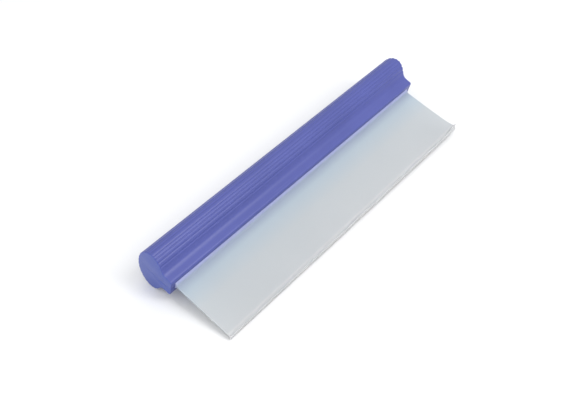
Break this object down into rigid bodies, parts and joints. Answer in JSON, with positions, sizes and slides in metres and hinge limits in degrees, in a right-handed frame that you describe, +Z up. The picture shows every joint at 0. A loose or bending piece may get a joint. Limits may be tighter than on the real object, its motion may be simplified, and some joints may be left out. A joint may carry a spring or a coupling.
{
  "type": "squeegee applicator",
  "caption": "Hand squeegee applicator with a ribbed two-shell plastic handle that grips a flexible silicone blade ending in a double-edged lip.",
  "frame": {"origin": "centre of the footprint, on the table the squeegee lies on", "axes": "+X along the handle, blade toward -Y, grip toward +Y, +Z up from the table"},
  "size_m": [0.305, 0.0928, 0.0447],
  "materials": {
    "handle_plastic": "satin moulded blue-violet plastic",
    "silicone": "translucent pale silicone",
    "screw_steel": "zinc plated"
  },
  "bodies": {
    "handle": {"upper_shell": "handle_plastic", "lower_shell": "handle_plastic", "shell_screws": "screw_steel", "blade_root": "silicone"},
    "blade": {"blade_web": "silicone"}
  },
  "joints": [
    {"name": "blade_flex", "type": "hinge", "parent": "handle", "child": "blade", "pos_m": [0, 0.0064, 0.01609], "axis": [1, 0, 0], "range_deg": [-45, 45], "stiffness_Nm_per_rad": 0.12}
  ]
}
